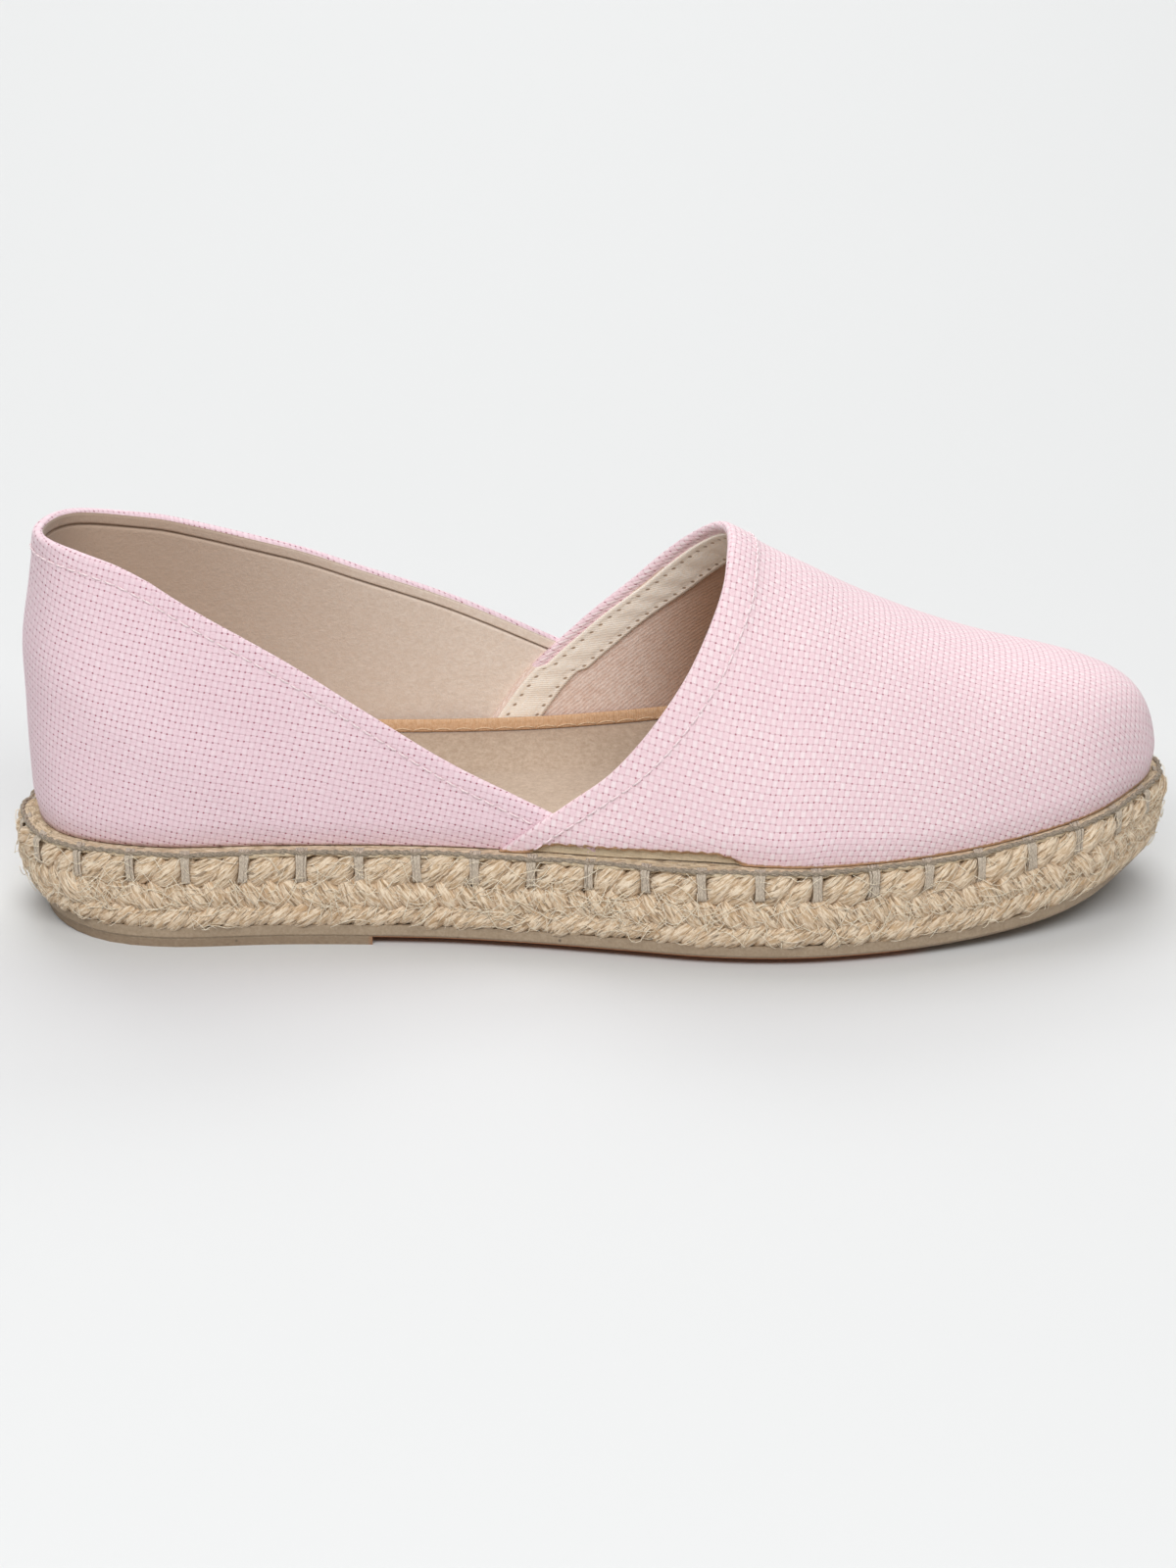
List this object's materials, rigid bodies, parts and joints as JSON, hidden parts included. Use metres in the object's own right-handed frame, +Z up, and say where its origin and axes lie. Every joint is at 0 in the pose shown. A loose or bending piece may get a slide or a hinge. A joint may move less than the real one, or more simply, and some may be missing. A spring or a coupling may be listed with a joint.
{
  "type": "espadrille",
  "caption": "Low-cut canvas espadrille for the right foot: lined vamp and heel quarter open at both sides, raised suede footbed, braided jute sole and thin rubber outsole.",
  "frame": {"origin": "on the floor plane, under the middle of the shoe's bounding box", "axes": "+X from heel to toe, +Y to the inner (medial) side, +Z up"},
  "size_m": [0.2514, 0.0876, 0.0854],
  "materials": {
    "outsole": "matt taupe rubber",
    "midsole": "braided natural jute",
    "welt": "raw cotton strip",
    "upper": "pale pink basket-weave canvas, lined with suede and twill",
    "insole": "beige microsuede over foam",
    "insole_binding": "tan grosgrain tape"
  },
  "bodies": {
    "root": {"outsole": "outsole", "midsole": "midsole", "welt": "welt", "upper": "upper", "insole": "insole", "insole_binding": "insole_binding"}
  },
  "joints": []
}
